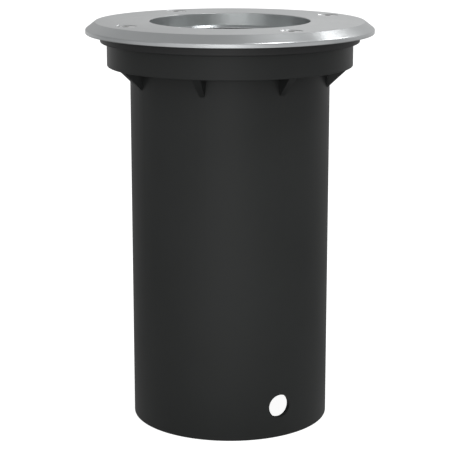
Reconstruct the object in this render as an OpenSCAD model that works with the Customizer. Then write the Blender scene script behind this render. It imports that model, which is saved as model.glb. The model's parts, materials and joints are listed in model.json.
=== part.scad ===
// In-ground well light: a sealed lamp unit that drops into an open plastic mounting sleeve.
// The origin is the centre of the sleeve's open foot, +Z is up and the cable hole faces -Y.

/* [Mounting sleeve] */
// Height of the sleeve, from its open foot to the top of its collar
sleeve_h = 147.6; // [144:0.1:180]
// Free gap between the sleeve's tube and the housing's canister
sleeve_gap = 3.25; // [2.5:0.05:4]
// Wall of the sleeve's tube
sleeve_wall = 2; // [1.6:0.1:2.4]
// How far the collar stands out from the tube
collar_step = 8.75; // [8:0.05:10]
// Height of the collar
collar_h = 9.1; // [8:0.1:11]
// Wall of the collar
collar_wall = 2; // [1.6:0.1:2.4]
// Thickness of the collar's floor
collar_floor = 2; // [1.6:0.1:2.4]
// Diameter of the cable hole near the foot
cable_hole_d = 9; // [6:0.1:12]
// Height of the cable hole's centre above the foot
cable_hole_z = 12.3; // [9:0.1:18]

/* [Gusset ribs] */
// Number of gusset ribs under the collar
rib_count = 8; // [4:1:12]
// Height of a rib below the collar
rib_h = 7.3; // [4:0.1:12]
// How far a rib stays back from the collar's edge
rib_inset = 1.05; // [0.6:0.05:4]
// Thickness of a rib under the collar
rib_root_t = 3.3; // [2:0.1:4]
// Thickness of a rib at its tip on the tube
rib_tip_t = 1.8; // [1:0.1:2]

/* [Trim ring] */
// How far the ring reaches out beyond the housing's flange
ring_overhang = 5.5; // [4.5:0.1:10]
// Width of the ring's bevel, on the plan
bevel_w = 3.6; // [2:0.1:4]
// How far the ring covers the edge of the glass
glass_lap = 5.35; // [5:0.05:6]
// Height of the ring, from its rim's underside to its top
ring_h = 4.4; // [4.2:0.1:5]
// Height of the plain rim below the bevel
rim_h = 1.6; // [1:0.1:2]
// Thickness of the ring's top plate
plate_t = 2.5; // [2.4:0.1:3]
// Width of the lip that presses on the glass
lip_w = 2.4; // [1.8:0.1:2.6]
// How far the opening's wall reaches below the rim
wall_drop = 0.4; // [0.2:0.1:0.8]
// Width of the slope that runs from the wall's foot in to the glass
slope_w = 1.5; // [1:0.1:2]
// Height of that slope
slope_h = 0.85; // [0.5:0.05:1.2]
// Width of the rim's wall
rim_wall = 2.8; // [2:0.1:3]

/* [Trim screws] */
// Distance from a screw's axis to the ring's edge
screw_inset = 10.85; // [10.5:0.05:11.5]
// Thread diameter of a trim screw
screw_d = 4; // [3:0.1:4]
// Length of a trim screw
screw_len = 6; // [5:0.1:6.4]
// Diameter of a countersink at the ring's top
sink_d = 8.9; // [8:0.1:9]
// Width across flats of a screw's hexagon socket
socket_af = 2.5; // [2:0.1:3]
// Depth of a screw's hexagon socket
socket_depth = 1.5; // [1:0.1:1.8]

/* [Glass and seals] */
// Width of the ledge that the glass rests on
glass_seat = 4.9; // [4.4:0.1:5.4]
// Thickness of the glass
glass_t = 6; // [5:0.1:6.5]
// Thickness of the seal above the glass
upper_gasket_t = 0.6; // [0.4:0.1:0.8]
// Thickness of the seal below the glass
lower_gasket_t = 1; // [0.6:0.1:1.2]

/* [Lamp housing] */
// How far the housing's flange covers more than the collar
flange_lap = 2.5; // [1.5:0.1:4]
// Thickness of the housing's flange
flange_t = 5.2; // [5:0.1:6]
// Height of the housing, from its outer floor to the top of its flange
housing_h = 98.8; // [96:0.1:106]
// Wall of the canister
canister_wall = 3; // [2:0.1:3.4]
// Thickness of the canister's floor
canister_floor = 4; // [3.5:0.1:5]
// Free room round the lamp's front rim inside the canister
lamp_room = 5; // [4.6:0.1:6]

/* [Reflector] */
// Thickness of the reflector's sheet
reflector_t = 1; // [0.6:0.1:1.2]
// Free gap between the reflector's mouth and the lamp
mouth_gap = 0.4; // [0.3:0.1:1]

/* [Lamp] */
// Diameter of the lamp's front rim
lamp_d = 50; // [46:0.1:56]
// Length of the lamp without its pins
lamp_len = 48; // [46:0.1:50]
// Distance from the lamp's front to the glass
lamp_gap = 5.9; // [5:0.1:8]
// Height of the lamp's front rim
lamp_rim_h = 4; // [3:0.1:5]
// Diameter of the lamp's shell where it meets the base
lamp_waist_d = 32; // [29:0.1:34]
// Diameter of the lamp's base
lamp_base_d = 25; // [24:0.1:27]
// Width of the lamp's base across its flats
lamp_base_w = 17; // [15:0.1:20]
// Height of the lamp's base
lamp_base_h = 11; // [9:0.1:13]
// Distance between the two pins
pin_spacing = 10; // [10:0.1:11]
// Length of a pin below the base
pin_len = 6.5; // [6:0.1:7]
// Diameter of a pin's neck
pin_neck_d = 3.2; // [2.6:0.1:3.4]
// Diameter of a pin's head
pin_head_d = 5; // [4.6:0.1:5]
// Height of a pin's head
pin_head_h = 2.6; // [2:0.1:3]
// Turn that frees the lamp from its holder, in degrees
lamp_twist = 25; // [20:1:30]

/* [Lampholder] */
// Diameter of the ceramic lampholder
holder_d = 28; // [27:0.1:30]
// Width of the lampholder across its flats
holder_w = 20; // [18:0.1:24]
// Height of the lampholder
holder_h = 14; // [13:0.1:15]
// Thickness of the bracket's sheet
bracket_t = 1.5; // [1:0.1:2]
// Width of the bracket
bracket_w = 16; // [12:0.1:18]
// Distance from the end of each foot to the canister's wall
foot_margin = 4; // [3.5:0.1:5]
// Length of each of the bracket's feet
bracket_foot = 7; // [6.5:0.1:7.5]

/* [Terminal block and leads] */
// Width of the terminal block
block_w = 20; // [18:0.1:21]
// Depth of the terminal block
block_l = 11; // [10:0.1:11.2]
// Height of the terminal block
block_h = 11; // [10:0.1:12]
// Distance between two poles of the block
pole_pitch = 6.5; // [6:0.1:6.6]
// Diameter of an internal lead
lead_d = 2.2; // [1.8:0.1:2.4]

/* [Cable gland] */
// Thread diameter of the gland
gland_d = 16; // [14:0.1:16.5]
// Width across flats of the gland's hexagons
gland_af = 22; // [19:0.1:22]
// Thickness of the gland's fixed hexagon
gland_hex_h = 5; // [4:0.1:6]
// Length of the gland's lower thread
gland_thread = 9; // [7.5:0.1:10]
// Height of the gland's dome nut
dome_h = 16; // [15:0.1:18]
// Thickness of the gland's lock nut
lock_nut_h = 3; // [2.5:0.1:3.5]
// Bore of the gland's seal, which takes the supply cable
cable_d = 7.2; // [6:0.1:8]

/* [Hidden] */
$fn = 96;

// Overrun of every cut beyond the face it opens
cut = 1;
// Steps in an arc that rounds a corner
arc_steps = 5;
// Steps in each arc of a twist-lock slot
slot_steps = 10;
// Gap between two pieces that turn or lift apart
part_gap = 0.3;
// Radial gap of a thread in its tapped hole
thread_gap = 0.05;
// Radial gap of a piece fitted into a seat
seat_gap = 0.1;

// Radii from the lamp outwards: canister, sleeve, collar
lamp_r = lamp_d / 2;
canister_bore_r = lamp_r + lamp_room;
canister_r = canister_bore_r + canister_wall;
tube_bore_r = canister_r + sleeve_gap;
tube_r = tube_bore_r + sleeve_wall;
collar_r = tube_r + collar_step;
collar_bore_r = collar_r - collar_wall;
collar_z = sleeve_h - collar_h;
collar_floor_z = collar_z + collar_floor;
rib_z = collar_z - rib_h;
rib_reach = collar_step - rib_inset;
rib_bury = sleeve_wall / 2;
moulded_round = 0.4;

// Levels of the housing, ring and glass, all hung from the top of the collar
flange_r = collar_r + flange_lap;
flange_top_z = sleeve_h + flange_t;
ring_top_z = flange_top_z + plate_t;
ring_bottom_z = ring_top_z - ring_h;
wall_foot_z = ring_bottom_z - wall_drop;
bead_edge = 0.25;
bead_z = wall_foot_z - slope_h - bead_edge;
bead_gap = 0.2;
glass_top_z = bead_z - bead_gap;
lip_z = glass_top_z + upper_gasket_t;
glass_z = glass_top_z - glass_t;
ledge_z = glass_z - lower_gasket_t;

// Reflector seat, and the glass above it
reflector_lap = 1;
reflector_r = canister_bore_r + reflector_lap;
step_r = reflector_r + seat_gap;
glass_r = step_r + glass_seat;

// Trim ring
ring_r = flange_r + ring_overhang;
ring_flat_r = ring_r - bevel_w;
opening_r = glass_r - glass_lap;
slope_r = opening_r - slope_w;
gasket_inset = 0.55;
bead_r = opening_r + gasket_inset - part_gap;
bead_round = 0.1;
lip_r = opening_r + lip_w;
hollow_r = ring_r - rim_wall;
rim_round = 0.8;
ring_round = 0.3;
hollow_round = 0.5;

// Trim screws, with heads parallel to their countersinks
screw_count = 4;
screw_r = screw_d / 2;
screw_ring_r = ring_r - screw_inset;
screw_hole_gap = 0.25;
screw_hole_r = screw_r + screw_hole_gap;
sink_r = sink_d / 2;
head_drop = 0.15;
head_r = sink_r - head_drop - seat_gap;
head_neck_z = ring_top_z - (sink_r - seat_gap - screw_r);
screw_top_z = ring_top_z - head_drop;
tap_floor = 1.2;

// Lamp housing
glass_clearance = 0.4;
pocket_r = glass_r + glass_clearance;
collar_clearance = 0.4;
head_body_r = collar_bore_r - collar_clearance;
head_z = collar_floor_z + part_gap;
canister_z = flange_top_z - housing_h;
floor_z = canister_z + canister_floor;
cast_round = 0.5;
floor_fillet = 1.5;

// Reflector, seated in a step of the housing's ledge
step_z = ledge_z - reflector_t - part_gap;
reflector_top_r = canister_bore_r - reflector_t;

// Lamp
lamp_front_z = glass_z - lamp_gap;
lamp_base_z = lamp_front_z - lamp_len;
lamp_waist_z = lamp_base_z + lamp_base_h;
lamp_rim_z = lamp_front_z - lamp_rim_h;
lamp_waist_r = lamp_waist_d / 2;
lamp_base_r = lamp_base_d / 2;
lamp_shell_t = 1.5;
lens_r = lamp_r - lamp_shell_t - seat_gap;
lens_t = 2;
lens_crown = 0.6;
lens_recess = 0.3;
lens_z = lamp_front_z - lens_recess - lens_crown - lens_t;
led_board_inset = 4.5;
led_board_r = lamp_r - led_board_inset;
led_board_t = 1.6;
lens_standoff = 7.4;
led_board_z = lens_z - lens_standoff;
led_chip_w = 3;
led_chip_h = 0.8;
led_count = 6;
led_ring_r = led_board_r / 2;
driver_bore_r = 12;
driver_w = 18;
driver_l = 22;
driver_t = 1.2;
driver_parts_share = 0.55;
base_wall = 2;
base_bore_r = 6;
pin_r = pin_spacing / 2;
pin_neck_r = pin_neck_d / 2;
pin_head_r = pin_head_d / 2;
pin_end_z = lamp_base_z - pin_len;
pin_head_z = pin_end_z + pin_head_h;

// Lampholder: the heads turn in a chamber below a slotted deck
holder_gap = 0.2;
holder_top_z = lamp_base_z - holder_gap;
holder_z = holder_top_z - holder_h;
holder_r = holder_d / 2;
deck_z = pin_head_z + part_gap;
entry_gap = 0.15;
contact_t = 0.6;
contact_top_z = pin_end_z - part_gap;
chamber_z = contact_top_z - contact_t;
contact_pad_r = 2.2;
contact_stem_r = 0.9;
crimp_r = 1.8;
crimp_len = 4;
crimp_drop = 0.5;

// Bracket
bridge_z = holder_z - bracket_t;
bracket_r = canister_bore_r - foot_margin - bracket_foot;
bracket_span = 2 * bracket_r;
foot_screw_x = bracket_r + bracket_foot / 2 + bracket_t / 4;
holder_screw_inset = 3.5;
holder_screw_x = holder_r - holder_screw_inset;
small_screw_r = 1.5;
small_head_r = 2.6;
small_head_h = 2;
small_screw_bite = 5;
slot_w = 0.6;
slot_depth = 0.7;
crimp_z = bridge_z - crimp_drop - crimp_len;
foot_bite_share = 0.75;
foot_bite = canister_floor * foot_bite_share;

// Terminal block
wire_h = 6.5;
wire_z = floor_z + wire_h;
wire_r = lead_d / 2 + part_gap;
floor_flat_r = canister_bore_r - floor_fillet;
block_y = sqrt(floor_flat_r * floor_flat_r - block_w * block_w / 4) - block_l - seat_gap;
clamp_w = 4.4;
clamp_h = 6;
clamp_l = block_l / 2;
clamp_y = block_y + (block_l - clamp_l) / 2;
block_screw_r = 1.5;
lead_in = 2;
lead_out = 3;
lead_bend = 4.5;
lead_sides = 8;
lead_r = lead_d / 2;

// Earth point on the housing's floor
earth_inset = 14;
earth_x = 14.5;
earth_y = earth_inset - canister_bore_r;
earth_boss_r = 4.5;
earth_boss_h = 2;
earth_eye_r = 4;
earth_plate_t = 0.8;
earth_barrel_l = 5;
earth_barrel_gap = 6;
earth_barrel_y = earth_y + earth_barrel_gap;
earth_screw_r = 2;
earth_head_r = 3.6;
earth_head_h = 2.2;
earth_z = floor_z + earth_boss_h;
earth_screw_l = earth_plate_t + earth_boss_h + foot_bite - part_gap;

// Cable gland
gland_r = gland_d / 2;
hex_share = 1 / cos(30);
gland_washer_t = 1;
gland_hex_z = canister_z - gland_washer_t - gland_hex_h;
gland_end_z = gland_hex_z - gland_thread;
gland_proud = 0.5;
gland_top_z = floor_z + lock_nut_h + gland_proud;
cable_clearance = 1;
gland_bore_r = cable_d / 2 + cable_clearance;
seal_wall = 1.7;
seal_r = gland_r - seal_wall;
seal_seat_l = 6;
seal_proud = 1.5;
seal_z = gland_end_z - seal_proud;
dome_top_z = gland_hex_z - part_gap;
dome_z = dome_top_z - dome_h;
dome_hex_share = 0.55;
dome_cap_t = 3.5;
nut_chamfer = 0.8;

// An arc that rounds the corner at b, on the way from a to c
function corner(a, b, c, r) =
    r == 0 ? [b] :
    let (
        u = (a - b) / norm(a - b),
        v = (c - b) / norm(c - b),
        half = acos(u * v) / 2,
        centre = b + (u + v) / norm(u + v) * r / sin(half),
        p = b + u * r / tan(half) - centre,
        q = b + v * r / tan(half) - centre,
        start = atan2(p[1], p[0]),
        swing = atan2(q[1], q[0]) - start,
        turn = swing > 180 ? swing - 360 : swing < -180 ? swing + 360 : swing
    )
    [for (i = [0:arc_steps])
        centre + r * [cos(start + turn * i / arc_steps), sin(start + turn * i / arc_steps)]];

// An outline from corners given as [radius, height, rounding]
function outline(p) =
    let (n = len(p), xy = [for (c = p) [c[0], c[1]]])
    [for (i = [0:n - 1]) each corner(xy[(i + n - 1) % n], xy[i], xy[(i + 1) % n], p[i][2])];

// A solid turned about the Z axis
module turned(p) {
    rotate_extrude() polygon(outline(p));
}

// A flat ring
module flat_ring(outer_r, inner_r, z, h) {
    translate([0, 0, z]) difference() {
        cylinder(h = h, r = outer_r);
        translate([0, 0, -cut]) cylinder(h = h + 2 * cut, r = inner_r);
    }
}

// A hexagonal bar, with its corners turned off at both ends
module hex_bar(af, z, h) {
    edge_r = af / 2 * hex_share;
    intersection() {
        translate([0, 0, z]) cylinder(h = h, r = edge_r, $fn = 6);
        turned([
            [0, z, 0], [edge_r - nut_chamfer, z, 0], [edge_r, z + nut_chamfer / 2, 0],
            [edge_r, z + h - nut_chamfer / 2, 0], [edge_r - nut_chamfer, z + h, 0], [0, z + h, 0]
        ]);
    }
}

// A slotted pan-head screw with its head's underside at z = 0, pointing down
module pan_screw(shank_r, shank_l, pan_r, pan_h) {
    difference() {
        union() {
            turned([[0, 0, 0], [pan_r, 0, 0], [pan_r, pan_h, pan_h / 2], [0, pan_h, 0]]);
            translate([0, 0, -shank_l]) cylinder(h = shank_l + pan_h / 2, r = shank_r);
        }
        translate([-pan_r - cut, -slot_w / 2, pan_h - slot_depth])
            cube([2 * (pan_r + cut), slot_w, slot_depth + cut]);
    }
}

// Mounting sleeve
module sleeve_rib() {
    intersection() {
        rotate([90, 0, 0]) linear_extrude(height = rib_root_t, center = true) polygon([
            [tube_r - rib_bury, rib_z], [tube_r, rib_z], [tube_r + rib_reach, collar_z],
            [tube_r + rib_reach, collar_z + rib_bury], [tube_r - rib_bury, collar_z + rib_bury]
        ]);
        rotate([90, 0, 90]) linear_extrude(height = collar_r) polygon([
            [-rib_tip_t / 2, rib_z], [rib_tip_t / 2, rib_z],
            [rib_root_t / 2, collar_z], [rib_root_t / 2, collar_z + rib_bury],
            [-rib_root_t / 2, collar_z + rib_bury], [-rib_root_t / 2, collar_z]
        ]);
    }
}

module mounting_sleeve() {
    color([0.17, 0.175, 0.175]) difference() {
        union() {
            turned([
                [tube_bore_r, 0, moulded_round], [tube_r, 0, moulded_round],
                [tube_r, collar_z, moulded_round],
                [collar_r, collar_z, moulded_round], [collar_r, sleeve_h, moulded_round],
                [collar_bore_r, sleeve_h, moulded_round], [collar_bore_r, collar_floor_z, moulded_round],
                [tube_bore_r, collar_floor_z, moulded_round]
            ]);
            for (i = [0:rib_count - 1]) rotate([0, 0, 360 * i / rib_count]) sleeve_rib();
        }
        translate([0, 0, cable_hole_z]) rotate([90, 0, 0]) cylinder(h = tube_r + cut, r = cable_hole_d / 2);
    }
}

// Lamp housing
module screw_places() {
    for (i = [0:screw_count - 1]) rotate([0, 0, 360 * i / screw_count]) translate([screw_ring_r, 0, 0])
        children();
}

module lamp_housing() {
    color([0.16, 0.165, 0.17]) difference() {
        union() {
            turned([
                [0, canister_z, 0], [canister_r, canister_z, floor_fillet], [canister_r, head_z, cast_round],
                [head_body_r, head_z, cast_round], [head_body_r, sleeve_h, 0],
                [flange_r, sleeve_h, moulded_round], [flange_r, flange_top_z, moulded_round],
                [pocket_r, flange_top_z, moulded_round], [pocket_r, ledge_z, 0], [step_r, ledge_z, 0],
                [step_r, step_z, 0], [canister_bore_r, step_z, 0],
                [canister_bore_r, floor_z, floor_fillet], [0, floor_z, 0]
            ]);
            translate([earth_x, earth_y, canister_z + canister_floor / 2])
                cylinder(h = canister_floor / 2 + earth_boss_h, r = earth_boss_r);
        }
        screw_places() translate([0, 0, sleeve_h + tap_floor])
            cylinder(h = flange_t, r = screw_r + thread_gap);
        translate([0, 0, canister_z - cut])
            cylinder(h = canister_floor + 2 * cut, r = gland_r + seat_gap);
        for (side = [-1, 1]) translate([side * foot_screw_x, 0, floor_z - foot_bite])
            cylinder(h = foot_bite + cut, r = small_screw_r + thread_gap);
        translate([earth_x, earth_y, floor_z - foot_bite])
            cylinder(h = foot_bite + earth_boss_h + cut, r = earth_screw_r + thread_gap);
    }
}

// Trim ring
module trim_ring() {
    color([0.70, 0.71, 0.71]) difference() {
        turned([
            [slope_r, bead_z, bead_round], [bead_r, bead_z, bead_round],
            [bead_r, lip_z, 0], [lip_r, lip_z, ring_round],
            [lip_r, flange_top_z, hollow_round], [hollow_r, flange_top_z, hollow_round],
            [hollow_r, ring_bottom_z, ring_round], [ring_r, ring_bottom_z, ring_round],
            [ring_r, ring_bottom_z + rim_h, rim_round], [ring_flat_r, ring_top_z, ring_round],
            [opening_r, ring_top_z, ring_round],
            [opening_r, wall_foot_z, 0], [slope_r, bead_z + bead_edge, bead_round]
        ]);
        screw_places() {
            translate([0, 0, flange_top_z - cut]) cylinder(h = plate_t + 2 * cut, r = screw_hole_r);
            translate([0, 0, ring_top_z - (sink_r - screw_hole_r)])
                cylinder(h = sink_r - screw_hole_r, r1 = screw_hole_r, r2 = sink_r);
            translate([0, 0, ring_top_z]) cylinder(h = cut, r = sink_r);
        }
    }
}

// Trim screws: countersunk, with a hexagon socket
module trim_screw(turn) {
    color([0.75, 0.75, 0.76]) rotate([0, 0, turn]) translate([screw_ring_r, 0, 0]) difference() {
        turned([
            [0, screw_top_z - screw_len, 0], [screw_r, screw_top_z - screw_len, 0],
            [screw_r, head_neck_z, 0], [head_r, screw_top_z, 0], [0, screw_top_z, 0]
        ]);
        translate([0, 0, screw_top_z - socket_depth])
            cylinder(h = socket_depth + cut, r = socket_af / 2 * hex_share, $fn = 6);
    }
}

// Glass and its seals
module upper_gasket() {
    color([0.1, 0.1, 0.1]) flat_ring(glass_r, opening_r + gasket_inset, glass_top_z, upper_gasket_t);
}

module glass_cover() {
    glass_round = glass_t / 10;
    color([0.8, 0.88, 0.86, 0.4]) turned([
        [0, glass_z, 0], [glass_r, glass_z, glass_round], [glass_r, glass_top_z, glass_round],
        [0, glass_top_z, 0]
    ]);
}

module lower_gasket() {
    color([0.1, 0.1, 0.1]) flat_ring(glass_r, step_r + gasket_inset, ledge_z, lower_gasket_t);
}

// Reflector
module reflector() {
    mouth_r = lamp_r + mouth_gap;
    mouth_z = lamp_front_z - reflector_t;
    color([0.82, 0.82, 0.83]) turned([
        [reflector_r, step_z, 0], [reflector_r, step_z + reflector_t, 0],
        [reflector_top_r - reflector_t, step_z + reflector_t, 0], [mouth_r, mouth_z, 0],
        [mouth_r + reflector_t, mouth_z, 0], [reflector_top_r, step_z, 0]
    ]);
}

// Lamp
module lamp_body() {
    lens_seat_r = lens_r + seat_gap;
    board_seat_r = led_board_r + seat_gap;
    color([0.86, 0.86, 0.85]) difference() {
        union() {
            turned([
                [0, lamp_waist_z - base_wall, 0], [lamp_base_r, lamp_waist_z - base_wall, 0],
                [lamp_waist_r, lamp_waist_z, 0], [lamp_r - lamp_shell_t, lamp_rim_z, 0],
                [lamp_r, lamp_rim_z, 0], [lamp_r, lamp_front_z, lamp_shell_t / 3], [0, lamp_front_z, 0]
            ]);
            intersection() {
                translate([0, 0, lamp_base_z]) cylinder(h = lamp_base_h, r = lamp_base_r);
                translate([-lamp_base_r, -lamp_base_w / 2, lamp_base_z])
                    cube([lamp_base_d, lamp_base_w, lamp_base_h]);
            }
        }
        turned([
            [0, lamp_base_z + base_wall, 0], [base_bore_r, lamp_base_z + base_wall, 0],
            [base_bore_r, lamp_waist_z, 0], [driver_bore_r, lamp_waist_z, 0], [driver_bore_r, led_board_z, 0],
            [board_seat_r, led_board_z, 0], [board_seat_r, lens_z, 0], [lens_seat_r, lens_z, 0],
            [lens_seat_r, lamp_front_z + cut, 0], [0, lamp_front_z + cut, 0]
        ]);
        for (side = [-1, 1]) translate([side * pin_r, 0, lamp_base_z - cut])
            cylinder(h = base_wall + 2 * cut, r = pin_neck_r + thread_gap);
    }
}

module lamp_front_lens() {
    color([0.92, 0.92, 0.9, 0.6]) rotate_extrude() polygon([
        [0, lens_z], [lens_r, lens_z],
        for (i = [arc_steps:-1:0]) let (share = i / arc_steps)
            [lens_r * share, lens_z + lens_t + lens_crown * (1 - share * share)]
    ]);
}

module lamp_led_plate() {
    color([0.93, 0.93, 0.92]) translate([0, 0, led_board_z]) cylinder(h = led_board_t, r = led_board_r);
}

module lamp_led_chips() {
    color([0.95, 0.85, 0.35]) for (i = [0:led_count - 1]) rotate([0, 0, 360 * i / led_count])
        translate([led_ring_r, -led_chip_w / 2, led_board_z + led_board_t])
            cube([led_chip_w, led_chip_w, led_chip_h]);
}

module lamp_driver_board() {
    part_w = driver_w * driver_parts_share;
    part_l = driver_l * driver_parts_share;
    color([0.1, 0.35, 0.2]) {
        translate([-driver_w / 2, -driver_t / 2, lamp_waist_z]) cube([driver_w, driver_t, driver_l]);
        translate([-part_w / 2, 0, lamp_waist_z + (driver_l - part_l) / 2])
            cube([part_w, part_w / 2, part_l]);
    }
}

module lamp_pins() {
    color([0.8, 0.8, 0.78]) for (side = [-1, 1]) translate([side * pin_r, 0, 0]) {
        translate([0, 0, pin_end_z]) cylinder(h = pin_head_h, r = pin_head_r);
        translate([0, 0, pin_end_z]) cylinder(h = pin_len + base_wall, r = pin_neck_r);
    }
}

// Lampholder
function at(turn) = [cos(turn), sin(turn)];
module arc_slot(half_w, z, h) {
    arc = [for (i = [0:slot_steps - 1]) i / slot_steps];
    translate([0, 0, z]) linear_extrude(height = h) polygon([
        for (share = arc) (pin_r + half_w) * at(lamp_twist * share),
        for (share = arc) pin_r * at(lamp_twist) + half_w * at(lamp_twist + 180 * share),
        for (share = arc) (pin_r - half_w) * at(lamp_twist * (1 - share)),
        for (share = arc) pin_r * at(0) + half_w * at(180 + 180 * share)
    ]);
}

module lampholder_body() {
    head_room_r = pin_head_r + part_gap;
    color([0.93, 0.92, 0.88]) difference() {
        intersection() {
            turned([
                [0, holder_z, 0], [holder_r, holder_z, cast_round], [holder_r, holder_top_z, cast_round],
                [0, holder_top_z, 0]
            ]);
            translate([-holder_r, -holder_w / 2, holder_z]) cube([holder_d, holder_w, holder_h]);
        }
        for (side = [0, 180]) rotate([0, 0, side]) {
            arc_slot(head_room_r, chamber_z, deck_z - chamber_z);
            arc_slot(pin_neck_r + part_gap, deck_z - cut, holder_top_z - deck_z + 2 * cut);
            rotate([0, 0, lamp_twist]) translate([pin_r, 0, deck_z - cut])
                cylinder(h = holder_top_z - deck_z + 2 * cut, r = pin_head_r + entry_gap);
            translate([pin_r, 0, holder_z - cut])
                cylinder(h = chamber_z - holder_z + 2 * cut, r = contact_stem_r + seat_gap);
            translate([holder_screw_x, 0, holder_z - cut])
                cylinder(h = small_screw_bite + cut, r = small_screw_r + thread_gap);
        }
    }
}

module lampholder_contacts() {
    color([0.8, 0.65, 0.3]) for (side = [-1, 1]) translate([side * pin_r, 0, 0]) {
        translate([0, 0, chamber_z]) cylinder(h = contact_t, r = contact_pad_r);
        translate([0, 0, crimp_z + crimp_len])
            cylinder(h = chamber_z - crimp_z - crimp_len, r = contact_stem_r);
        difference() {
            translate([0, 0, crimp_z]) cylinder(h = crimp_len, r = crimp_r);
            translate([0, 0, crimp_z - cut]) cylinder(h = crimp_len, r = lead_r + seat_gap);
        }
    }
}

module lampholder_bracket() {
    color([0.72, 0.73, 0.74]) difference() {
        union() {
            translate([-bracket_r, -bracket_w / 2, bridge_z]) cube([bracket_span, bracket_w, bracket_t]);
            for (side = [-1, 1]) {
                translate([side * (bracket_r - bracket_t / 2) - bracket_t / 2, -bracket_w / 2, floor_z])
                    cube([bracket_t, bracket_w, holder_z - floor_z]);
                translate([side * (bracket_r + bracket_foot / 2) - bracket_foot / 2, -bracket_w / 2, floor_z])
                    cube([bracket_foot, bracket_w, bracket_t]);
            }
        }
        for (side = [-1, 1]) {
            translate([side * pin_r, 0, bridge_z - cut])
                cylinder(h = bracket_t + 2 * cut, r = crimp_r + part_gap);
            translate([side * holder_screw_x, 0, bridge_z - cut])
                cylinder(h = bracket_t + 2 * cut, r = small_screw_r + seat_gap);
            translate([side * foot_screw_x, 0, floor_z - cut])
                cylinder(h = bracket_t + 2 * cut, r = small_screw_r + seat_gap);
        }
    }
}

module holder_screws() {
    color([0.75, 0.75, 0.72]) for (side = [-1, 1]) translate([side * holder_screw_x, 0, bridge_z])
        rotate([180, 0, 0])
            pan_screw(small_screw_r, small_screw_bite + bracket_t - part_gap, small_head_r, small_head_h);
}

module bracket_screws() {
    color([0.75, 0.75, 0.72]) for (side = [-1, 1])
        translate([side * foot_screw_x, 0, floor_z + bracket_t])
            pan_screw(small_screw_r, foot_bite + bracket_t - part_gap, small_head_r, small_head_h);
}

// Terminal block: each pole has a wire hole, a clamp and a screw
module pole_places() {
    for (i = [-1:1]) translate([i * pole_pitch, 0, 0]) children();
}

module terminal_block() {
    color([0.9, 0.9, 0.87]) difference() {
        translate([-block_w / 2, block_y, floor_z]) cube([block_w, block_l, block_h]);
        pole_places() {
            translate([0, block_y - cut, wire_z]) rotate([-90, 0, 0])
                cylinder(h = block_l + 2 * cut, r = wire_r);
            translate([-clamp_w / 2 - seat_gap, clamp_y - seat_gap, wire_z - clamp_h / 2])
                cube([clamp_w + 2 * seat_gap, clamp_l + 2 * seat_gap, clamp_h + seat_gap]);
            translate([0, block_y + block_l / 2, wire_z])
                cylinder(h = block_h, r = block_screw_r + part_gap);
        }
    }
}

module terminal_clamps() {
    color([0.78, 0.68, 0.35]) pole_places() difference() {
        translate([-clamp_w / 2, clamp_y, wire_z - clamp_h / 2])
            cube([clamp_w, clamp_l, clamp_h]);
        translate([0, block_y, wire_z]) rotate([-90, 0, 0]) cylinder(h = block_l, r = lead_r);
        translate([0, block_y + block_l / 2, wire_z]) cylinder(h = clamp_h, r = block_screw_r + thread_gap);
    }
}

module terminal_screws() {
    screw_bottom_z = wire_z + lead_r / 2;
    color([0.75, 0.75, 0.72]) pole_places() translate([0, block_y + block_l / 2, 0]) difference() {
        translate([0, 0, screw_bottom_z])
            cylinder(h = floor_z + block_h - part_gap - screw_bottom_z, r = block_screw_r);
        translate([-block_screw_r - cut, -slot_w / 2, floor_z + block_h - part_gap - slot_depth])
            cube([2 * (block_screw_r + cut), slot_w, slot_depth + cut]);
    }
}

// Leads: a tube swept along a route whose corners are eased
function unit(v) = v / norm(v);
function eased(a, b, c) =
    let (p = b + lead_bend * unit(a - b), q = b + lead_bend * unit(c - b))
    [for (i = [0:arc_steps]) let (s = i / arc_steps)
        (1 - s) * (1 - s) * p + 2 * s * (1 - s) * b + s * s * q];
function lead_path(r) = [
    r[0],
    for (i = [1:len(r) - 2]) each eased(r[i - 1], r[i], r[i + 1]),
    r[len(r) - 1]
];

module lead(route, side_dir) {
    path = lead_path(route);
    n = len(path);
    rings = [for (i = [0:n - 1])
        let (
            along = unit(path[min(i + 1, n - 1)] - path[max(i - 1, 0)]),
            u = unit(cross(along, side_dir)),
            v = cross(along, u)
        )
        for (k = [0:lead_sides - 1])
            path[i] + lead_r * (cos(360 * k / lead_sides) * u + sin(360 * k / lead_sides) * v)];
    polyhedron(points = rings, faces = [
        [for (k = [0:lead_sides - 1]) k],
        [for (k = [lead_sides - 1:-1:0]) (n - 1) * lead_sides + k],
        for (i = [0:n - 2], k = [0:lead_sides - 1]) let (
            a = i * lead_sides + k,
            b = i * lead_sides + (k + 1) % lead_sides
        ) each [[b, a, a + lead_sides], [b, a + lead_sides, b + lead_sides]]
    ]);
}

module lead_to_contact(pole_x, contact_x) {
    lead([
        [pole_x, block_y + lead_in, wire_z], [pole_x, block_y - lead_out, wire_z],
        [contact_x, 0, wire_z], [contact_x, 0, crimp_z + lead_in]
    ], [1, 0, 0]);
}

module lead_live() {
    color([0.45, 0.28, 0.18]) lead_to_contact(0, pin_r);
}

module lead_neutral() {
    color([0.2, 0.35, 0.6]) lead_to_contact(-pole_pitch, -pin_r);
}

module lead_earth() {
    color([0.55, 0.65, 0.2]) lead([
        [pole_pitch, block_y + lead_in, wire_z], [pole_pitch, block_y - lead_out, wire_z],
        [earth_x, 0, wire_z], [earth_x, earth_barrel_y + earth_barrel_l / 2, wire_z]
    ], [0, 0, 1]);
}

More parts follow.
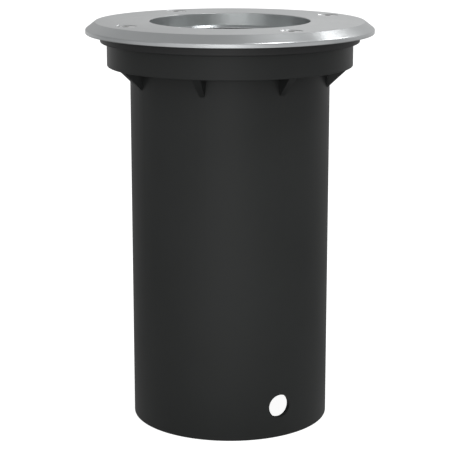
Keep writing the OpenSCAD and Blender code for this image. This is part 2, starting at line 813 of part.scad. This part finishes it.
// Earth terminal and its screw
module earth_terminal() {
    barrel_r = wire_z - earth_z;
    color([0.8, 0.78, 0.7]) difference() {
        union() {
            translate([earth_x, earth_y, earth_z]) cylinder(h = earth_plate_t, r = earth_eye_r);
            translate([earth_x - earth_eye_r / 2, earth_y, earth_z])
                cube([earth_eye_r, earth_barrel_y - earth_y + earth_barrel_l / 4, earth_plate_t]);
            translate([earth_x, earth_barrel_y, wire_z]) rotate([-90, 0, 0])
                cylinder(h = earth_barrel_l, r = min(barrel_r, crimp_r));
            translate([earth_x - earth_plate_t / 2, earth_barrel_y, earth_z])
                cube([earth_plate_t, earth_barrel_l / 4, barrel_r]);
        }
        translate([earth_x, earth_y, earth_z - cut])
            cylinder(h = earth_plate_t + 2 * cut, r = earth_screw_r + seat_gap);
        translate([earth_x, earth_barrel_y + earth_barrel_l / 3, wire_z]) rotate([-90, 0, 0])
            cylinder(h = earth_barrel_l, r = lead_r + seat_gap);
    }
}

module earth_screw() {
    color([0.8, 0.7, 0.4]) translate([earth_x, earth_y, earth_z + earth_plate_t])
        pan_screw(earth_screw_r, earth_screw_l, earth_head_r, earth_head_h);
}

// Cable gland
module gland_body() {
    color([0.13, 0.13, 0.14]) difference() {
        union() {
            translate([0, 0, gland_end_z]) cylinder(h = gland_top_z - gland_end_z, r = gland_r);
            hex_bar(gland_af, gland_hex_z, gland_hex_h);
        }
        translate([0, 0, gland_end_z - cut])
            cylinder(h = gland_top_z - gland_end_z + 2 * cut, r = gland_bore_r);
        translate([0, 0, gland_end_z - cut]) cylinder(h = seal_seat_l + cut, r = seal_r + seat_gap);
    }
}

module gland_washer() {
    color([0.08, 0.08, 0.08])
        flat_ring(gland_af / 2, gland_r + seat_gap, canister_z - gland_washer_t, gland_washer_t);
}

module gland_lock_nut() {
    color([0.13, 0.13, 0.14]) difference() {
        hex_bar(gland_af, floor_z, lock_nut_h);
        translate([0, 0, floor_z - cut]) cylinder(h = lock_nut_h + 2 * cut, r = gland_r + thread_gap);
    }
}

module gland_seal() {
    color([0.3, 0.3, 0.3])
        flat_ring(seal_r, cable_d / 2, seal_z, seal_proud + seal_seat_l);
}

module gland_dome_nut() {
    hex_z = dome_top_z - dome_h * dome_hex_share;
    skirt_r = gland_af / 2 - nut_chamfer;
    color([0.13, 0.13, 0.14]) difference() {
        union() {
            hex_bar(gland_af, hex_z, dome_top_z - hex_z);
            turned([
                [0, dome_z, 0], [gland_r, dome_z, dome_cap_t / 3], [skirt_r, hex_z, 0],
                [skirt_r, hex_z + nut_chamfer, 0], [0, hex_z + nut_chamfer, 0]
            ]);
        }
        translate([0, 0, seal_z - part_gap])
            cylinder(h = dome_top_z - seal_z + part_gap + cut, r = gland_r + thread_gap);
        translate([0, 0, dome_z - cut]) cylinder(h = dome_h, r = gland_bore_r);
    }
}

mounting_sleeve();
lamp_housing();
trim_ring();
trim_screw(0);  // trim_screw_right
trim_screw(90);  // trim_screw_back
trim_screw(180);  // trim_screw_left
trim_screw(270);  // trim_screw_front
upper_gasket();
glass_cover();
lower_gasket();
reflector();
lamp_body();
lamp_front_lens();
lamp_led_plate();
lamp_led_chips();
lamp_driver_board();
lamp_pins();
lampholder_body();
lampholder_contacts();
lampholder_bracket();
holder_screws();
bracket_screws();
terminal_block();
terminal_clamps();
terminal_screws();
lead_live();
lead_neutral();
lead_earth();
earth_terminal();
earth_screw();
gland_body();
gland_washer();
gland_lock_nut();
gland_seal();
gland_dome_nut();
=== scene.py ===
import json
from math import atan2, ceil, cos, pi, radians, sin

import bpy
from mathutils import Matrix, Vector


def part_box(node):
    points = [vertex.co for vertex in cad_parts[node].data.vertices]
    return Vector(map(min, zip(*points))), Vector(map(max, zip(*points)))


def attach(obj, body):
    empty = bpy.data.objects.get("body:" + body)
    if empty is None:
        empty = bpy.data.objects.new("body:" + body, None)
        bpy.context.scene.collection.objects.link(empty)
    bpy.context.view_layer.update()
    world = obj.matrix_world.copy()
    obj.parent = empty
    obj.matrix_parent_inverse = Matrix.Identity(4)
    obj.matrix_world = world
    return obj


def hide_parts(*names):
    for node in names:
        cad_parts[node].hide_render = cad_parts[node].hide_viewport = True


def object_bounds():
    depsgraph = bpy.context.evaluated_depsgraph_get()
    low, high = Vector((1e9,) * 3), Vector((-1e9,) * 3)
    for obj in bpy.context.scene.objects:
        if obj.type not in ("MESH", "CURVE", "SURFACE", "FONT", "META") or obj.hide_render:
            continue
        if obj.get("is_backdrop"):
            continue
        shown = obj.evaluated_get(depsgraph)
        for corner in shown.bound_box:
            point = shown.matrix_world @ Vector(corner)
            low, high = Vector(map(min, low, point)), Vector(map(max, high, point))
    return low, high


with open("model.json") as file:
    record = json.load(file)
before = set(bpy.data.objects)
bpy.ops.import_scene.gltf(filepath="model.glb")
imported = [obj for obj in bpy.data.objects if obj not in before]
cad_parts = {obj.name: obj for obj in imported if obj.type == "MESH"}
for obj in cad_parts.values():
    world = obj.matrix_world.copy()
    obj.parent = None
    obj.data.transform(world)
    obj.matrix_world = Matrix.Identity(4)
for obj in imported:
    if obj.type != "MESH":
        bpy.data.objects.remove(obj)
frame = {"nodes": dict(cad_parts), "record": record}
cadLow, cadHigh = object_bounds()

mm = 0.001
scene = bpy.context.scene


# camera: low three-quarter view from the front left, seen through a long lens
cameraSetup = {
    "distance": 0.600,      # on the floor plan, from the light's axis
    "height": 0.214,
    "azimuth": -29.7,
    "pitch": 13.19,         # degrees below level
    "lens": 122.9,
}


def addCamera(setup):
    data = bpy.data.cameras.new("photoCamera")
    data.lens = setup["lens"]
    camera = bpy.data.objects.new("photoCamera", data)
    turn = radians(setup["azimuth"])
    camera.location = (setup["distance"] * sin(turn), -setup["distance"] * cos(turn), setup["height"])
    camera.rotation_euler = (radians(90 - setup["pitch"]), 0, turn)
    scene.collection.objects.link(camera)
    scene.camera = camera


addCamera(cameraSetup)
scene.view_settings.view_transform = "Standard"
print("camera placed")


# small helpers for building node trees
def addNode(tree, kind, inputs=None, **settings):
    node = tree.nodes.new(kind)
    for name, value in settings.items():
        setattr(node, name, value)
    for name, value in (inputs or {}).items():
        if isinstance(value, bpy.types.NodeSocket):
            tree.links.new(value, node.inputs[name])
        else:
            node.inputs[name].default_value = value
    return node


def startMaterial(name, **fixed):
    material = bpy.data.materials.new(name)
    material.use_nodes = True
    tree = material.node_tree
    shader = tree.nodes["Principled BSDF"]
    for socket, value in fixed.items():
        shader.inputs[socket].default_value = value
    return material, tree, shader


def objectCoords(tree):
    return addNode(tree, "ShaderNodeTexCoord").outputs["Object"]


def noiseOn(tree, vector, scale, detail, rough=0.55):
    inputs = {"Vector": vector, "Scale": scale, "Detail": detail, "Roughness": rough}
    return addNode(tree, "ShaderNodeTexNoise", inputs).outputs["Fac"]


# the value from fromLow to fromHigh becomes low to high; most noise lies between the two given here
def spread(tree, value, low, high, fromLow=0.3, fromHigh=0.7):
    inputs = {"Value": value, "From Min": fromLow, "From Max": fromHigh, "To Min": low, "To Max": high}
    return addNode(tree, "ShaderNodeMapRange", inputs).outputs["Result"]


# a colour between two, and a run of grey levels at given places
def tint(tree, factor, dark, light):
    inputs = {0: factor, 6: (*dark, 1), 7: (*light, 1)}
    return addNode(tree, "ShaderNodeMix", inputs, data_type="RGBA").outputs[2]


def steps(tree, value, stops):
    ramp = addNode(tree, "ShaderNodeValToRGB", {"Fac": value})
    points = ramp.color_ramp.elements
    while len(points) < len(stops):
        points.new(0.5)
    for point, (place, level) in zip(points, stops):
        point.position = place
        point.color = (level, level, level, 1)
    return ramp.outputs["Color"]


def maths(tree, operation, first, second=0.0):
    return addNode(tree, "ShaderNodeMath", {0: first, 1: second}, operation=operation).outputs[0]


def vectorMaths(tree, operation, first, second=(0, 0, 0)):
    node = addNode(tree, "ShaderNodeVectorMath", {0: first, 1: second}, operation=operation)
    return node.outputs["Value" if operation in ("LENGTH", "DOT_PRODUCT") else "Vector"]


def between(tree, share, first, second):
    return addNode(tree, "ShaderNodeMix", {0: share, 2: first, 3: second}, data_type="FLOAT").outputs[0]


def bumpFrom(tree, shader, height, depth):
    bump = addNode(tree, "ShaderNodeBump", {"Height": height, "Distance": depth, "Strength": 1.0})
    tree.links.new(bump.outputs["Normal"], shader.inputs["Normal"])


# radius, cosine and sine of a point round a vertical axis, so a turned finish has no seam
def turnedCoords(tree, centre=(0, 0, 0)):
    place = vectorMaths(tree, "SUBTRACT", objectCoords(tree), centre)
    flat = vectorMaths(tree, "MULTIPLY", place, (1, 1, 0))
    radius = vectorMaths(tree, "LENGTH", flat)
    split = addNode(tree, "ShaderNodeSeparateXYZ", {0: vectorMaths(tree, "NORMALIZE", flat)})
    height = addNode(tree, "ShaderNodeSeparateXYZ", {0: place}).outputs["Z"]
    return radius, split.outputs["X"], split.outputs["Y"], height


# steel: fine rings left by turning and polishing, and a little cloudiness
steelFinish = {
    "colour": (0.60, 0.617, 0.623),
    "cloudColour": (0.56, 0.577, 0.585),
    "roughness": (0.28, 0.31),
    "drawnOut": 0.40,        # how far the turning draws a highlight out across its rings
    "ringsPerMm": 1.4,
    "ringLength": 3.0,       # how often a ring breaks up on its way round
    "ringDepth": 0.0005 * mm,
    "cloudsPerMm": 0.06,
}

screwFinish = {**steelFinish, "colour": (0.74, 0.74, 0.74), "roughness": (0.12, 0.2), "drawnOut": 0.2}
aluminiumFinish = {**steelFinish, "colour": (0.80, 0.80, 0.81), "cloudColour": (0.74, 0.74, 0.75)}


def steel(name, finish, centre=(0, 0, 0)):
    quarterTurn = 0.25
    fixed = {"Metallic": 1.0, "Anisotropic": finish["drawnOut"], "Anisotropic Rotation": quarterTurn}
    material, tree, shader = startMaterial(name, **fixed)
    around = addNode(tree, "ShaderNodeTangent", direction_type="RADIAL", axis="Z")
    tree.links.new(around.outputs["Tangent"], shader.inputs["Tangent"])
    radius, cosine, sine, height = turnedCoords(tree, centre)
    across = maths(tree, "ADD", radius, height)
    rings = addNode(tree, "ShaderNodeCombineXYZ", {
        "X": maths(tree, "MULTIPLY", across, finish["ringsPerMm"] / mm),
        "Y": maths(tree, "MULTIPLY", cosine, finish["ringLength"]),
        "Z": maths(tree, "MULTIPLY", sine, finish["ringLength"]),
    }).outputs[0]
    grain = noiseOn(tree, rings, 1.0, detail=2)
    cloud = noiseOn(tree, objectCoords(tree), finish["cloudsPerMm"] / mm, detail=4)
    tree.links.new(tint(tree, spread(tree, cloud, 0, 1), finish["cloudColour"], finish["colour"]),
                   shader.inputs["Base Color"])
    tree.links.new(spread(tree, grain, *finish["roughness"]), shader.inputs["Roughness"])
    bumpFrom(tree, shader, grain, finish["ringDepth"])
    return material


# moulded plastic: fine even grain, slow change of colour and gloss
plasticFinish = {
    "colour": (0.0225, 0.0240, 0.0234),
    "paleColour": (0.0257, 0.0274, 0.0270),
    "roughness": (0.36, 0.44),
    "specular": 0.24,
    "grainPerMm": 2.6,
    "grainDepth": 0.006 * mm,
}


mouldedClouds = {"perMm": 0.035, "detail": 4}


def moulded(name, finish):
    material, tree, shader = startMaterial(name, **{"Specular IOR Level": finish["specular"]})
    coords = objectCoords(tree)
    grain = noiseOn(tree, coords, finish["grainPerMm"] / mm, detail=2)
    cloud = noiseOn(tree, coords, mouldedClouds["perMm"] / mm, mouldedClouds["detail"])
    tree.links.new(tint(tree, spread(tree, cloud, 0, 1), finish["colour"], finish["paleColour"]),
                   shader.inputs["Base Color"])
    tree.links.new(spread(tree, cloud, *finish["roughness"]), shader.inputs["Roughness"])
    bumpFrom(tree, shader, grain, finish["grainDepth"])
    return material


# powder coat over cast metal: orange-peel ripple
coatFinish = {
    "colour": (0.017, 0.0175, 0.018),
    "paleColour": (0.023, 0.0235, 0.024),
    "roughness": (0.38, 0.5),
    "specular": 0.35,
    "grainPerMm": 1.1,
    "grainDepth": 0.02 * mm,
}

rubberFinish = {
    "colour": (0.016, 0.016, 0.016),
    "paleColour": (0.024, 0.024, 0.023),
    "roughness": (0.55, 0.7),
    "specular": 0.25,
    "grainPerMm": 4.0,
    "grainDepth": 0.008 * mm,
}

nylonFinish = {
    "colour": (0.015, 0.015, 0.016),
    "paleColour": (0.022, 0.022, 0.024),
    "roughness": (0.32, 0.45),
    "specular": 0.4,
    "grainPerMm": 3.0,
    "grainDepth": 0.004 * mm,
}

blockFinish = {
    "colour": (0.70, 0.70, 0.65),
    "paleColour": (0.78, 0.78, 0.74),
    "roughness": (0.35, 0.45),
    "specular": 0.4,
    "grainPerMm": 2.0,
    "grainDepth": 0.004 * mm,
}

ceramicFinish = {
    "colour": (0.74, 0.71, 0.63),
    "paleColour": (0.82, 0.80, 0.74),
    "roughness": (0.14, 0.3),
    "specular": 0.5,
    "grainPerMm": 0.9,
    "grainDepth": 0.012 * mm,
}

shellFinish = {
    "colour": (0.74, 0.74, 0.72),
    "paleColour": (0.80, 0.80, 0.78),
    "roughness": (0.3, 0.4),
    "specular": 0.4,
    "grainPerMm": 1.5,
    "grainDepth": 0.006 * mm,
}

boardFinish = {
    "colour": (0.022, 0.12, 0.05),
    "paleColour": (0.035, 0.18, 0.08),
    "roughness": (0.25, 0.4),
    "specular": 0.5,
    "grainPerMm": 0.8,
    "grainDepth": 0.01 * mm,
}

plateFinish = {
    "colour": (0.80, 0.80, 0.78),
    "paleColour": (0.86, 0.86, 0.85),
    "roughness": (0.3, 0.42),
    "specular": 0.45,
    "grainPerMm": 1.2,
    "grainDepth": 0.004 * mm,
}

phosphorFinish = {
    "colour": (0.80, 0.56, 0.10),
    "paleColour": (0.90, 0.70, 0.20),
    "roughness": (0.25, 0.35),
    "specular": 0.5,
    "grainPerMm": 6.0,
    "grainDepth": 0.004 * mm,
}


# the leads' insulation: one colour, or with a second one spun round it
insulationFinish = {"palerBy": 1.25, "stripeScale": 320.0, "stripeWander": 1.5, "stripeEdge": (0.62, 0.66)}


def insulation(colour, stripe=None):
    return {
        "colour": colour,
        "paleColour": tuple(insulationFinish["palerBy"] * part for part in colour),
        "roughness": (0.4, 0.5),
        "specular": 0.4,
        "grainPerMm": 3.0,
        "grainDepth": 0.006 * mm,
        "stripe": stripe,
    }


def striped(name, finish):
    material = moulded(name, finish)
    if finish["stripe"]:
        tree = material.node_tree
        shader = tree.nodes["Principled BSDF"]
        wave = addNode(tree, "ShaderNodeTexWave", {
            "Vector": objectCoords(tree),
            "Scale": insulationFinish["stripeScale"],
            "Distortion": insulationFinish["stripeWander"],
        })
        base = shader.inputs["Base Color"].links[0].from_socket
        band = spread(tree, wave.outputs["Fac"], 0, 1, *insulationFinish["stripeEdge"])
        colours = {0: band, 6: base, 7: (*finish["stripe"], 1)}
        mixed = addNode(tree, "ShaderNodeMix", colours, data_type="RGBA")
        tree.links.new(mixed.outputs[2], shader.inputs["Base Color"])
    return material


# plated and stamped metal: long rolling marks, small dull spots
sheetFinish = {"marksPerMm": 3.0, "markStretch": 0.08, "markDepth": 0.002 * mm, "spotsPerMm": 0.22}


def sheetMetal(name, colour, dull, roughness):
    material, tree, shader = startMaterial(name, Metallic=1.0)
    coords = objectCoords(tree)
    along = vectorMaths(tree, "MULTIPLY", coords, (sheetFinish["markStretch"], 1, 1))
    marks = noiseOn(tree, along, sheetFinish["marksPerMm"] / mm, detail=3)
    spots = noiseOn(tree, coords, sheetFinish["spotsPerMm"] / mm, detail=5)
    tree.links.new(tint(tree, spread(tree, spots, 0, 1), dull, colour), shader.inputs["Base Color"])
    tree.links.new(spread(tree, marks, *roughness), shader.inputs["Roughness"])
    bumpFrom(tree, shader, marks, sheetFinish["markDepth"])
    return material


# clear toughened glass, with the faintest waviness
glassFinish = {
    "colour": (0.90, 0.96, 0.94),
    "paleColour": (0.96, 0.99, 0.98),
    "roughness": 0.0,
    "ior": 1.50,
    "wavesPerMm": 0.05,
    "waveDepth": 0.004 * mm,
}


def glass(name, finish):
    fixed = {"Transmission Weight": 1.0, "IOR": finish["ior"], "Roughness": finish["roughness"]}
    material, tree, shader = startMaterial(name, **fixed)
    waves = noiseOn(tree, objectCoords(tree), finish["wavesPerMm"] / mm, detail=1)
    tree.links.new(tint(tree, waves, finish["colour"], finish["paleColour"]), shader.inputs["Base Color"])
    bumpFrom(tree, shader, waves, finish["waveDepth"])
    return material


# frosted lens of the lamp, with a fine pebbled face
lensFinish = {
    "colour": (0.90, 0.90, 0.88),
    "paleColour": (0.95, 0.95, 0.94),
    "clearness": 0.6,
    "roughness": 0.35,
    "ior": 1.49,
    "pebblesPerMm": 0.9,
    "pebbleDepth": 0.05 * mm,
}


def frostedLens(name, finish):
    fixed = {"Transmission Weight": finish["clearness"], "IOR": finish["ior"],
             "Roughness": finish["roughness"]}
    material, tree, shader = startMaterial(name, **fixed)
    cells = {"Vector": objectCoords(tree), "Scale": finish["pebblesPerMm"] / mm}
    pebbles = addNode(tree, "ShaderNodeTexVoronoi", cells).outputs["Distance"]
    tree.links.new(tint(tree, pebbles, finish["colour"], finish["paleColour"]), shader.inputs["Base Color"])
    bumpFrom(tree, shader, pebbles, finish["pebbleDepth"])
    return material


# every piece takes the finish of its slot in the record
finishOfSlot = {
    "black_plastic": moulded("mouldedSleeve", plasticFinish),
    "black_coated_metal": moulded("powderCoat", coatFinish),
    "brushed_stainless": steel("turnedSteel", steelFinish),
    "seal_rubber": moulded("sealRubber", rubberFinish),
    "clear_glass": glass("coverGlass", glassFinish),
    "reflector_aluminium": steel("spunAluminium", aluminiumFinish),
    "lamp_shell": moulded("whiteShell", shellFinish),
    "lamp_lens": frostedLens("frostedLens", lensFinish),
    "led_plate": moulded("whiteMask", plateFinish),
    "led_chip": moulded("phosphor", phosphorFinish),
    "circuit_board": moulded("greenMask", boardFinish),
    "nickel_pin": sheetMetal("nickelPlate", (0.70, 0.69, 0.66), (0.62, 0.61, 0.58), (0.18, 0.3)),
    "holder_ceramic": moulded("glazedCeramic", ceramicFinish),
    "contact_brass": sheetMetal("stampedBrass", (0.72, 0.52, 0.20), (0.60, 0.42, 0.16), (0.22, 0.36)),
    "zinc_sheet": sheetMetal("zincSheet", (0.58, 0.60, 0.61), (0.46, 0.48, 0.49), (0.3, 0.45)),
    "zinc_screw": sheetMetal("zincScrew", (0.62, 0.62, 0.59), (0.50, 0.50, 0.48), (0.25, 0.4)),
    "block_plastic": moulded("blockPlastic", blockFinish),
    "lead_brown": striped("brownLead", insulation((0.17, 0.065, 0.03))),
    "lead_blue": striped("blueLead", insulation((0.04, 0.12, 0.36))),
    "lead_green_yellow": striped("earthLead", insulation((0.05, 0.28, 0.04), stripe=(0.62, 0.52, 0.04))),
    "tinned_copper": sheetMetal("tinnedCopper", (0.70, 0.68, 0.62), (0.60, 0.57, 0.52), (0.25, 0.4)),
    "gland_nylon": moulded("glandNylon", nylonFinish),
}

slotOfNode = {part["node"]: part["material_slot"] for part in frame["record"]["subparts"]}
for name, piece in frame["nodes"].items():
    if slotOfNode[name] == "screw_stainless":
        low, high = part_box(name)
        middle = (low + high) / 2
        material = steel(f"screwSteel_{name}", screwFinish, (middle.x, middle.y, 0))
    else:
        material = finishOfSlot[slotOfNode[name]]
    for place in piece.material_slots:
        place.material = material
print(f"finishes on {len(frame['nodes'])} pieces")


# a closed turned mesh: each ring is a height and a radius, or a radius that changes round the ring
turnedForm = {"sides": 48, "sharpFrom": 32}     # sharpFrom is in degrees


def turnedMesh(name, centre, rings, start):
    sides = turnedForm["sides"]
    points, faces = [(centre.x, centre.y, rings[0][0])], []
    for height, radius in rings:
        for side in range(sides):
            angle = 2 * pi * side / sides
            reach = radius(angle) if callable(radius) else radius
            east, north = reach * cos(angle + start), reach * sin(angle + start)
            points.append((centre.x + east, centre.y + north, height))
    points.append((centre.x, centre.y, rings[-1][0]))
    for side in range(sides):
        beside = (side + 1) % sides
        faces.append((0, 1 + beside, 1 + side))
        for row in range(len(rings) - 1):
            below, above = 1 + row * sides, 1 + (row + 1) * sides
            faces.append((below + side, below + beside, above + beside, above + side))
        last = 1 + (len(rings) - 1) * sides
        faces.append((last + side, last + beside, len(points) - 1))
    mesh = bpy.data.meshes.new(name)
    mesh.from_pydata(points, [], faces)
    mesh.shade_smooth()
    mesh.set_sharp_from_angle(angle=radians(turnedForm["sharpFrom"]))
    piece = bpy.data.objects.new(name, mesh)
    scene.collection.objects.link(piece)
    return piece


# the rings of a screw thread, fading out at both its ends
def threadRings(foot, top, form):
    depth = form["crest"] - form["root"]

    def ridge(height, angle):
        place = (height / form["pitch"] - angle / (2 * pi)) % 1
        return min(1.0, form["crestFlat"] * (1 - abs(2 * place - 1)))

    def radiusAt(height):
        whole = max(0.0, min(1.0, (height - foot) / form["leadIn"], (top - height) / form["leadIn"]))
        return lambda angle: form["root"] + depth * whole * ridge(height, angle)

    rows = ceil((top - foot) / form["pitch"] * form["rowsPerTurn"])
    heights = [foot + (top - foot) * row / rows for row in range(rows + 1)]
    return [(height, radiusAt(height)) for height in heights]


# trim screws: countersunk, with a chamfered hexagon socket and a cut thread
screwForm = {
    "crest": 1.98 * mm,
    "root": 1.62 * mm,
    "pitch": 0.7 * mm,
    "crestFlat": 1.2,        # 1 is a sharp crest, and more cuts it flatter
    "rowsPerTurn": 8,
    "leadIn": 0.5 * mm,
    "edge": 0.12 * mm,       # of the head's rim, the socket and the point
    "socketAcross": 2.5 * mm,
    "socketDepth": 1.4 * mm,
}


def trimScrew(node, body, form):
    low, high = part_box(node)
    centre, headRadius = (low + high) / 2, (high.x - low.x) / 2
    edge, top = form["edge"], high.z
    half = form["socketAcross"] / 2
    floor = top - form["socketDepth"]
    neck = top - (headRadius - form["root"])     # the head's cone is at 45 degrees

    def hexagon(extra):
        return lambda angle: half / cos(angle % (pi / 3) - pi / 6) + extra

    point = [(low.z, form["root"] - 2 * edge)]
    head = [
        (top - edge, headRadius - edge),
        (top - edge / 3, headRadius - 1.4 * edge),
        (top, headRadius - 2.2 * edge),
    ]
    socket = [
        (top, hexagon(edge)),
        (top - edge, hexagon(0)),
        (floor, hexagon(0)),
        (floor - 2 * edge, 0.3 * half),
    ]
    rings = point + threadRings(low.z + edge, neck, form) + head + socket
    piece = turnedMesh(f"threaded_{node}", centre, rings, atan2(centre.y, centre.x))
    piece.data.materials.append(frame["nodes"][node].material_slots[0].material)
    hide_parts(node)
    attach(piece, body)


for side in ("right", "back", "left", "front"):
    trimScrew(f"trim_screw_{side}", f"screw_{side}", screwForm)
print("trim screws threaded")


# floor and surroundings: white to the camera and in gloss, quiet for soft light
floorSetup = {
    "side": 14.0,
    "frontTurn": -29.7,              # where its front lies, from the Y axis turned round
    "shadowShare": 0.26,             # how much of the floor's white comes from the light on it
    "bounce": 0.14,                  # what it throws back at the object
    "glow": 0.96,
    "glossGlow": (0.10, 0.55),       # shown in gloss, behind the light and in front of it
    "glossEdge": (-50 * mm, 250 * mm),
    "runner": 0.5,                   # more of it along a strip straight in front
    "runnerStart": (60 * mm, 200 * mm),
    "runnerEdge": (110 * mm, 240 * mm),
    "farGlow": 0.5,                  # and a long way off, all round
    "farEdge": (700 * mm, 1200 * mm),
    "gap": 0.02 * mm,                # under the foot
}


def addFloor(setup):
    half = setup["side"] / 2
    corners = [(-half, -half, 0), (half, -half, 0), (half, half, 0), (-half, half, 0)]
    mesh = bpy.data.meshes.new("studioFloor")
    mesh.from_pydata(corners, [], [(0, 1, 2, 3)])
    floor = bpy.data.objects.new("studioFloor", mesh)
    floor.location.z = -setup["gap"]
    scene.collection.objects.link(floor)
    material = bpy.data.materials.new("studioFloor")
    material.use_nodes = True
    tree = material.node_tree
    tree.nodes.clear()
    rays = addNode(tree, "ShaderNodeLightPath").outputs
    seen = maths(tree, "MAXIMUM", rays["Is Camera Ray"], rays["Is Transmission Ray"])
    front = radians(setup["frontTurn"])
    coords = objectCoords(tree)
    forward = vectorMaths(tree, "DOT_PRODUCT", coords, (sin(front), -cos(front), 0))
    sideways = maths(tree, "ABSOLUTE", vectorMaths(tree, "DOT_PRODUCT", coords, (cos(front), sin(front), 0)))
    runner = maths(tree, "MULTIPLY", spread(tree, forward, 0, 1, *setup["runnerStart"]),
                   spread(tree, sideways, setup["runner"], 0, *setup["runnerEdge"]))
    nearby = maths(tree, "ADD", spread(tree, forward, *setup["glossGlow"], *setup["glossEdge"]), runner)
    farOff = spread(tree, vectorMaths(tree, "LENGTH", coords), 0, setup["farGlow"], *setup["farEdge"])
    mirrored = maths(tree, "MAXIMUM", nearby, farOff)
    inGloss = maths(tree, "MULTIPLY", rays["Is Glossy Ray"], mirrored)
    level = maths(tree, "MAXIMUM", maths(tree, "MULTIPLY", seen, setup["glow"]), inGloss)
    glow = addNode(tree, "ShaderNodeEmission", {"Color": (1, 1, 1, 1), "Strength": level})
    share = between(tree, seen, setup["bounce"], setup["shadowShare"])
    matt = addNode(tree, "ShaderNodeBsdfDiffuse", {"Color": share})
    both = addNode(tree, "ShaderNodeAddShader", {0: matt.outputs[0], 1: glow.outputs[0]})
    # clear from underneath, so that the foot can be looked at
    under = addNode(tree, "ShaderNodeNewGeometry").outputs["Backfacing"]
    clear = addNode(tree, "ShaderNodeBsdfTransparent")
    shown = addNode(tree, "ShaderNodeMixShader", {0: under, 1: both.outputs[0], 2: clear.outputs[0]})
    addNode(tree, "ShaderNodeOutputMaterial", {"Surface": shown.outputs[0]})
    mesh.materials.append(material)
    floor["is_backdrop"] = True


# a soft even room: what lights the object, and what its gloss shows at and above the horizon
worldSetup = {
    "softLight": 0.80,
    "backTurn": -65.0,       # where the backdrop stands, from the Y axis
    "horizon": (             # from straight opposite the backdrop, at 0, round to its middle, at 1
        (0.40, 0.26), (0.66, 0.50), (0.85, 0.43), (0.91, 0.74), (0.95, 0.57),
    ),
    "middle": 0.46,          # least level above the horizon
    "middleEdge": (0.16, 0.30),
    "overhead": 0.42,
    "overheadEdge": (0.50, 0.95),
}


def addWorld(setup):
    world = bpy.data.worlds.new("studio")
    world.use_nodes = True
    tree = world.node_tree
    tree.nodes.clear()
    rays = addNode(tree, "ShaderNodeLightPath").outputs
    direction = addNode(tree, "ShaderNodeTexCoord").outputs["Generated"]
    up = addNode(tree, "ShaderNodeSeparateXYZ", {0: direction}).outputs["Z"]
    turn = radians(setup["backTurn"])
    backward = vectorMaths(tree, "DOT_PRODUCT", direction, (-sin(turn), cos(turn), 0))
    level = steps(tree, spread(tree, backward, 0, 1, -1, 1), setup["horizon"])
    level = maths(tree, "MAXIMUM", level, spread(tree, up, 0, setup["middle"], *setup["middleEdge"]))
    high = spread(tree, up, 0, 1, *setup["overheadEdge"])
    inGloss = between(tree, high, level, setup["overhead"])
    unseen = between(tree, rays["Is Glossy Ray"], setup["softLight"], inGloss)
    seen = maths(tree, "MAXIMUM", rays["Is Camera Ray"], rays["Is Transmission Ray"])
    strength = between(tree, seen, unseen, 1.0)
    shader = addNode(tree, "ShaderNodeBackground", {"Color": (1, 1, 1, 1), "Strength": strength})
    addNode(tree, "ShaderNodeOutputWorld", {"Surface": shader.outputs[0]})
    scene.world = world


# each lamp: where it stands from the middle of the light, its size and its power
lampSetup = {
    "keyLight": {"place": (-1.21, -1.33, 0.36), "size": (3.0, 0.42), "watts": 3.4},
    "keyHeart": {"place": (-1.10, -1.42, 0.36), "size": (1.1, 0.42), "watts": 1.6},
    "edgeBox": {"place": (1.10, 0.02, 1.12), "size": (0.26, 0.34), "watts": 2.8},
    "lipBox": {"place": (0.36, -0.66, 1.55), "size": (0.62, 0.20), "watts": 6.2},
}


def addLamp(name, setup):
    data = bpy.data.lights.new(name, "AREA")
    data.shape = "RECTANGLE"
    data.size, data.size_y = setup["size"]
    data.energy = setup["watts"]
    lamp = bpy.data.objects.new(name, data)
    lamp.location = setup["place"]
    aim = Vector((0, 0, cadHigh.z / 2)) - lamp.location
    lamp.rotation_euler = aim.to_track_quat("-Z", "Y").to_euler()
    scene.collection.objects.link(lamp)


addFloor(floorSetup)
addWorld(worldSetup)
for name, setup in lampSetup.items():
    addLamp(name, setup)
print("studio lit")


low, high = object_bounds()
